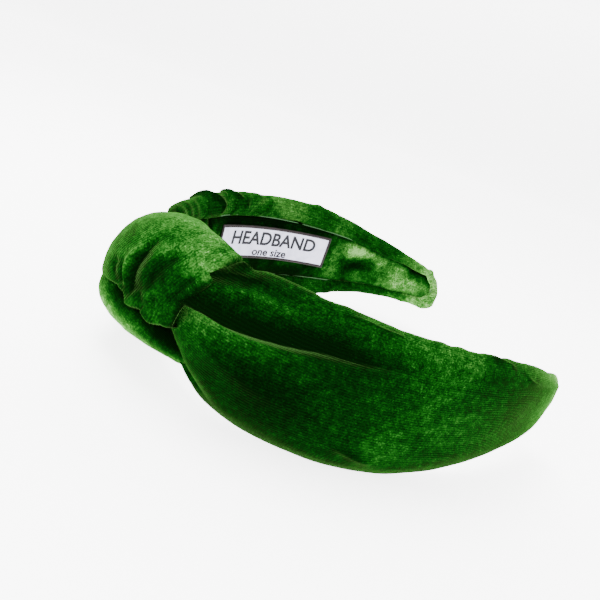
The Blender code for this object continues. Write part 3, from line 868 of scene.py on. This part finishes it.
def wrap_folds(place, turn):
    """Pleats of the wrap: they curve down over the dome and draw together at the lower edge."""
    x, y = place * HOOP_SPEED, turn * 0.45
    height = 0.3 * crumple(x, y, 7, 11, 71) + 0.12 * crumple(x, y, 3, 5, 72)
    for route, tall, left, right, fade_in, fade_out in WRAP_FOLDS:
        height += fold(x, y, route, tall, left, right, fade_in, fade_out)
    return height * (0.35 + 0.65 * ease(y, -1.5, 4.5))


def finish_knot_velvet(piece):
    """The velvet, slot and body that the knot's pieces of cloth share."""
    piece.data.materials.append(knot_velvet)
    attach(piece, "crown")
    return piece


def knot_cloth(name, skin, lengthwise, crosswise, painted_light_and_lay):
    """A padded piece of the knot's velvet: the skin and an inner face one cloth's thickness behind it.

    The inner face comes up to the skin at the first and last rows, so the piece is closed.
    """
    rows = np.arange(len(skin))
    taper = np.minimum(1, np.minimum(rows, rows[::-1]) / 3)[:, None] + 0 * skin[..., 0]
    inner = raised(skin, taper * CLOTH_THICKNESS / MM)[:, ::-1]
    points = np.concatenate([skin, inner], axis=1)
    lengthwise, crosswise, painted_light_and_lay = (np.concatenate([grid, grid[:, ::-1]], axis=1)
                                    for grid in np.broadcast_arrays(lengthwise, crosswise, painted_light_and_lay))
    return finish_knot_velvet(add_piece(name, points, lengthwise, crosswise, closed=True, painted_light_and_lay=painted_light_and_lay))


def wrap_skin():
    """The wrap: a dome with rolled front and rear edges and a scalloped, tucked-in lower edge."""
    middle = np.linspace(KNOT_PLACES[0], KNOT_PLACES[-1], 190)
    edge = np.linspace(1, 0, 18)[:-1]
    place = np.concatenate([np.full(17, middle[0]), middle, np.full(17, middle[-1])])[:, None]
    rolled = np.concatenate([edge, 0 * middle, edge[::-1]])[:, None] * np.pi / 2
    hem_turn = smooth_curve(place, HEM_PLACES, HEM_TURNS)
    share = np.linspace(0, 1, 190)[None, :]
    tucked = np.linspace(1, 0, 16)[None, :-1] * np.pi / 2
    turn = np.concatenate([hem_turn + 0 * tucked, hem_turn + (WRAP_BACK - hem_turn) * share], axis=1)
    tuck = np.concatenate([tucked + 0 * place, 0 * (share + place)], axis=1)
    size = smooth_curve(place, KNOT_PLACES, KNOT_OUT) * MM
    tall = smooth_curve(place, KNOT_PLACES, KNOT_UP) * MM
    out, up = knot_form(turn, size, tall)
    shrunk = 1 - 0.24 * (1 - np.cos(rolled))
    out = out * shrunk - 5.0 * MM * (1 - np.cos(tuck))
    up = up * shrunk - 2.4 * MM * np.sin(tuck)
    bulge = 2.4 / HOOP_SPEED * np.sin(rolled) * np.sign(place)
    flare = -0.03 * (1 - ease(up, -4 * MM, 7 * MM)) + 0.01 * ease(up, 21 * MM, 27 * MM)
    flare = flare * ease(-place, 0.2, 0.42)
    points = on_hoop(place - KNOT_LEAN * up + bulge + flare, out, up)
    height = wrap_folds(place + 0 * turn, turn)
    flat = np.cos(tuck) * np.cos(rolled)
    # Painted light on the wrap: painted highlight on the pleats' ridges and towards the top, painted shade in
    # the pleats and on the rolled and tucked edges.
    painted_light_and_lay = height / 2 + 0.5 * ease(up, 12 * MM, 27 * MM) - 0.8 * (1 - flat)
    return raised(points, -height * flat), turn * 0.45 * MM, place * HOOP_SPEED * MM, painted_light_and_lay


wrap = knot_cloth("knot_wrap_velvet", *wrap_skin())
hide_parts("knot_wrap")

LOOP_ROUTE = (
    (0.20, 4.0, 12.0), (0.12, 9.5, 4.0), (0.04, 13.0, -2.6), (-0.01, 13.8, -8.0), (-0.10, 12.0, -9.0),
    (-0.20, 9.6, -9.8), (-0.29, 7.0, -10.6), (-0.39, 4.2, -11.8), (-0.49, 1.8, -13.2), (-0.58, 0.2, -13.6),
)
LOOP_STATIONS = (0, 0.2, 0.4, 0.6, 0.78, 0.9, 1)
LOOP_THICK = (4.5, 6.4, 7.2, 6.4, 5.0, 3.6, 2.2)
LOOP_WIDE = (5.5, 7.2, 8.2, 8.0, 6.8, 5.0, 3.0)


def loop_strand():
    """The loop: an oval section carried along a smooth route of (angle, out, height) places.

    The section's frame follows the route: one axis away from the hoop's middle, one across it.
    """
    route = np.array(LOOP_ROUTE)
    stations = np.linspace(0, 1, len(route))
    t = np.linspace(0, 1, 200)
    angle, out, up = (smooth_curve(t, stations, route[:, k]) for k in range(3))
    centre = on_hoop(angle, out * MM, up * MM)
    along = np.gradient(centre, axis=0)
    along /= np.linalg.norm(along, axis=1, keepdims=True)
    away = centre - on_hoop(angle, -4.0 * MM, 4.0 * MM + 0.0 * up)
    away -= (away * along).sum(axis=1, keepdims=True) * along
    away /= np.linalg.norm(away, axis=1, keepdims=True)
    across = np.cross(along, away)
    turn = np.linspace(0, 2 * np.pi, 90, endpoint=False)[None, :]
    thick = smooth_curve(t, LOOP_STATIONS, LOOP_THICK)[:, None] * MM
    wide = smooth_curve(t, LOOP_STATIONS, LOOP_WIDE)[:, None] * MM
    length = np.concatenate([[0], np.cumsum(np.linalg.norm(np.diff(centre, axis=0), axis=1))])[:, None]
    x, y = length / MM + 0 * turn, turn * 8 + 0 * length
    height = (0.3 * crumple(x, y, 9, 8, 91) + 0.12 * crumple(x, y, 3, 4, 92)) * MM
    thick, wide = thick + height, wide + height
    points = (centre[:, None] + away[:, None] * (thick * np.cos(turn))[..., None]
              + across[:, None] * (wide * np.sin(turn))[..., None])
    for end in (0, -1):
        points[end] = points[end].mean(axis=0)
    # Painted light on the loop: painted highlight on the side away from the strip, painted shade on the side
    # towards it, and lighter on its bumps.
    return points, length, turn * 8 * MM, height / MM + 1.5 * np.cos(turn + 0.1) - 0.75


loop_points, loop_length, loop_turn, loop_painted_light = loop_strand()
loop = add_piece("knot_loop_velvet", loop_points, loop_length, loop_turn, closed=True, painted_light_and_lay=loop_painted_light)
finish_knot_velvet(loop)
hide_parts("knot_loop")

LOWER_PLACES = (-0.5, -0.3, 0.0, 0.3, 0.62)
LOWER_OUT = (1.5, 5.0, 16.5, 13.0, 7.0)
LOWER_DOWN = (15.0, 18.5, 21.0, 22.0, 21.0)


def lower_skin():
    """The velvet under the knot: it closes the lower side and, at the rear, the side below the wrap."""
    place = np.linspace(LOWER_PLACES[-1], LOWER_PLACES[0], 160)[:, None]
    highest = 20 + 68 * ease(place, 0.02, 0.16)
    turn = -WRAP_BACK + (highest + WRAP_BACK) * np.linspace(0, 1, 200)[None, :]
    size = smooth_curve(place, LOWER_PLACES, LOWER_OUT) * MM
    low = smooth_curve(place, LOWER_PLACES, LOWER_DOWN) * MM
    out, up = knot_form(turn, size, np.where(turn > 0, 15 * MM, low))
    height = 0.3 * crumple(place * HOOP_SPEED + 0 * turn, turn * 0.4, 10, 5, 81)
    # Painted shade under the knot: a little darker all over, and lighter on its bumps.
    return raised(on_hoop(place, out, up), height), place * HOOP_SPEED * MM, turn * 0.45 * MM, height - 0.6


lower = knot_cloth("knot_lower_velvet", *lower_skin())

# ---------------------------------------------------------------------------------------------
# Knot filling: a ball of loose wadding that rounds the dome out, and a foam pad that runs across
# the crown under it.
# ---------------------------------------------------------------------------------------------
def rounded_filling(name, half_angle, lean, outs, half_up, node, power=0.8):
    """A closed, slightly uneven pad: superellipse sections that shrink to a point at both ends."""
    run = np.linspace(-1, 1, 70)[:, None]
    turn = np.linspace(0, 2 * np.pi, 80, endpoint=False)[None, :]
    size = np.sqrt(1 - np.abs(run) ** 3)
    across = np.sign(np.cos(turn)) * np.abs(np.cos(turn)) ** power
    rise = np.sign(np.sin(turn)) * np.abs(np.sin(turn)) ** power
    middle, reach = (outs[0] + outs[1]) / 2 * MM, (outs[1] - outs[0]) / 2 * MM
    uneven = 1 - 0.04 * (1 + crumple(run * 30 + 0 * turn, turn * 10 + 0 * run, 6, 6, 61))
    out, up = middle + reach * size * across * uneven, half_up * MM * size * rise * uneven
    points = on_hoop(run * half_angle - lean * up, out, up)
    pad = add_piece(name, points, run * half_angle * 0.07, up, closed=True)
    pad.data.materials.append(foam)
    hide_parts(node)
    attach(pad, "crown")


rounded_filling("crown_foam", 0.52, 0.0, (1.5, 4.0), 9.0, "foam_crown", power=0.5)
rounded_filling("knot_wadding", 0.24, KNOT_LEAN, (5.0, 15.0), 15.0, "knot_stuffing")

# ---------------------------------------------------------------------------------------------
# Label: a woven panel sewn flat on the rear arm's lining, a dark woven edging round it, and plain
# woven words that any band could carry.
# ---------------------------------------------------------------------------------------------
LABEL_START, LABEL_END = 0.763, 1.576
LABEL_MIDDLE_UP = 2.4 * MM
LABEL_HALF_UP = 8.5 * MM
LABEL_OUT = -4.25 * MM
EDGING_WIDTH = 1.4 * MM
LABEL_THICKNESS = 0.25 * MM
LETTERS_ABOVE = 0.27 * MM
LETTERS_THICKNESS = 0.12 * MM


def on_label(along, up, above):
    """Points on the label: metres along from its left end, up from its middle, and above its cloth."""
    start = length_along(LABEL_START)
    steps = np.linspace(0, TIP_ANGLE, 800)
    angle = np.interp(start + along, length_along(steps), steps)
    height = LABEL_MIDDLE_UP + up
    bow = 0.7 * MM * (1 - np.abs(height / LINING_HALF_MOST) ** 3)
    return on_hoop(angle, LABEL_OUT - bow + 0.7 * MM - above, height)


def woven_finish(name, light, dark, metres):
    """A tight woven face: fine crossing threads, each a little lighter or darker, with a slight gloss."""
    material, tree, shader = new_finish(name)
    cloth = add_node(tree, "ShaderNodeUVMap", uv_map="cloth")
    split = add_node(tree, "ShaderNodeSeparateXYZ", [("Vector", cloth.outputs["UV"])])
    waves = []
    for axis in ("X", "Y"):
        turn = add_node(tree, "ShaderNodeMath", [(0, split.outputs[axis])], operation="MULTIPLY")
        turn.inputs[1].default_value = 2 * math.pi / metres
        waves.append(add_node(tree, "ShaderNodeMath", [(0, turn.outputs[0])], operation="SINE").outputs[0])
    weave = add_node(tree, "ShaderNodeMath", [(0, waves[0]), (1, waves[1])], operation="MULTIPLY")
    place = add_node(tree, "ShaderNodeTexCoord")
    uneven = add_node(tree, "ShaderNodeTexNoise", [("Vector", place.outputs["Object"])],
                      Scale=260.0, Detail=3.0)
    level = add_sum(tree, weave.outputs[0], 0.22, uneven.outputs["Fac"])
    colour = colour_steps(tree, level, [(0.25, dark), (0.6, light)])
    bump = add_node(tree, "ShaderNodeBump", [("Height", weave.outputs[0])],
                    Strength=0.4, Distance=0.1 * MM)
    tree.links.new(colour, shader.inputs["Base Color"])
    tree.links.new(bump.outputs["Normal"], shader.inputs["Normal"])
    shader.inputs["Roughness"].default_value = 0.75
    shader.inputs["Specular IOR Level"].default_value = 0.2
    return material


label_cloth = woven_finish("label_cloth", (0.60, 0.60, 0.72), (0.44, 0.44, 0.57), 0.45 * MM)
label_edge = woven_finish("label_edge", (0.016, 0.012, 0.012), (0.005, 0.004, 0.004), 0.4 * MM)
label_ink = woven_finish("label_ink", (0.014, 0.014, 0.017), (0.006, 0.006, 0.008), 0.35 * MM)
LABEL_LENGTH = length_along(LABEL_END) - length_along(LABEL_START)


def finish_label(piece, material):
    """The material, slot and body that every piece of the label shares."""
    piece.data.materials.append(material)
    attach(piece, "rear_arm")
    return piece


def label_face():
    """The panel: a thin grid with two faces, closed all round."""
    along = np.linspace(0.3 * MM, LABEL_LENGTH - 0.3 * MM, 120)[:, None]
    up = np.linspace(-LABEL_HALF_UP + 0.3 * MM, LABEL_HALF_UP - 0.3 * MM, 40)[None, :]
    front = on_label(along + 0 * up, up + 0 * along, LABEL_THICKNESS)
    back = on_label(along + 0 * up, up + 0 * along, 0.0)[:, ::-1]
    points = np.concatenate([front, back], axis=1)
    for end in (0, -1):
        points[end, :40] = points[end, 40:][::-1]
    return points, along, np.concatenate([up, up[:, ::-1]], axis=1)


panel = finish_label(add_piece("label_face", *label_face(), closed=True), label_cloth)
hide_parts("label_panel")


def label_edging():
    """The edging: a flat oval section carried round a rectangle."""
    turn = np.linspace(0, 2 * np.pi, 361)[:, None]
    half_long, half_up = LABEL_LENGTH / 2, LABEL_HALF_UP
    ring = np.linspace(0, 2 * np.pi, 12, endpoint=False)[None, :]
    inset = EDGING_WIDTH / 2 * (1 - np.cos(ring))
    lift = 0.2 * MM + 0.3 * MM * np.sin(ring)
    x = np.clip(1.42 * np.cos(turn), -1, 1) * (half_long - inset)
    z = np.clip(1.42 * np.sin(turn), -1, 1) * (half_up - inset)
    return on_label(half_long + x, z, lift + 0 * x), half_long + x, z


edging = add_piece("label_edging_band", *label_edging(), closed=True)
finish_label(edging, label_edge)
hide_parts("label_border")


def label_words(name, words, size, stretch, up, heavier):
    """Words in the plain built-in letters, a little raised, bent to the label's face."""
    letters = bpy.data.curves.new(name, "FONT")
    letters.body = words
    letters.size = size
    letters.extrude = LETTERS_THICKNESS
    letters.offset = heavier
    letters.align_x = "CENTER"
    letters.align_y = "CENTER"
    flat = bpy.data.objects.new(name + "_flat", letters)
    bpy.context.scene.collection.objects.link(flat)
    bpy.context.view_layer.update()
    mesh = bpy.data.meshes.new_from_object(flat)
    bpy.data.objects.remove(flat)
    places = np.empty(len(mesh.vertices) * 3)
    mesh.vertices.foreach_get("co", places)
    places = places.reshape(-1, 3)
    x, z = places[:, 0] * stretch, places[:, 1]
    bent = on_label(LABEL_LENGTH / 2 + x, up + z, LETTERS_ABOVE + places[:, 2])
    mesh.vertices.foreach_set("co", bent.ravel())
    layer = mesh.uv_layers.new(name="cloth")
    corners = np.empty(len(mesh.loops), int)
    mesh.loops.foreach_get("vertex_index", corners)
    layer.data.foreach_set("uv", np.stack([x, z], axis=-1)[corners].astype(np.float32).ravel())
    mesh.materials.clear()
    piece = bpy.data.objects.new(name, mesh)
    bpy.context.scene.collection.objects.link(piece)
    return finish_label(piece, label_ink)


label_words("label_words_top", "HEADBAND", 9.4 * MM, 1.05, 1.9 * MM, 0.2 * MM)
label_words("label_words_low", "one size", 5.8 * MM, 1.12, -4.9 * MM, 0.1 * MM)
